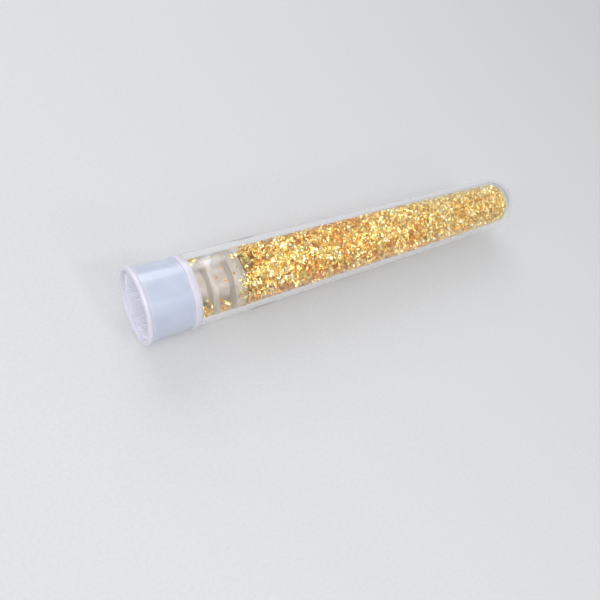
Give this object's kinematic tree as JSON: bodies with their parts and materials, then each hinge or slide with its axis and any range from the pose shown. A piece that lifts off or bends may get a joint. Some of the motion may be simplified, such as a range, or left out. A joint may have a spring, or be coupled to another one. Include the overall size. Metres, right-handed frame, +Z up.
{
  "type": "gold sample vial",
  "caption": "Clear round-bottomed plastic sample tube packed with crumpled gold leaf flakes and closed by a translucent push-in stopper with a hollow ribbed head.",
  "frame": {"origin": "on the surface the vial lies on, under the middle of its length", "axes": "+X along the vial from the stopper to the round end, +Z up, the vial lying on its side"},
  "size_m": [0.0838, 0.0128, 0.0128],
  "materials": {
    "clear_plastic": "gloss",
    "milky_plastic": "satin",
    "gold_leaf": "polished"
  },
  "bodies": {
    "vial": {"tube": "clear_plastic"},
    "stopper": {"stopper": "milky_plastic", "flakes_behind_bead": "gold_leaf", "flakes_between_rings": "gold_leaf"},
    "leaf": {"gold_fill": "gold_leaf"}
  },
  "joints": [
    {"name": "stopper_pull", "type": "slide", "parent": "vial", "child": "stopper", "axis": [-1, 0, 0], "range_m": [0, 0.02]},
    {"name": "leaf_shift", "type": "slide", "parent": "vial", "child": "leaf", "axis": [-1, 0, 0], "range_m": [0, 0.0005]}
  ]
}
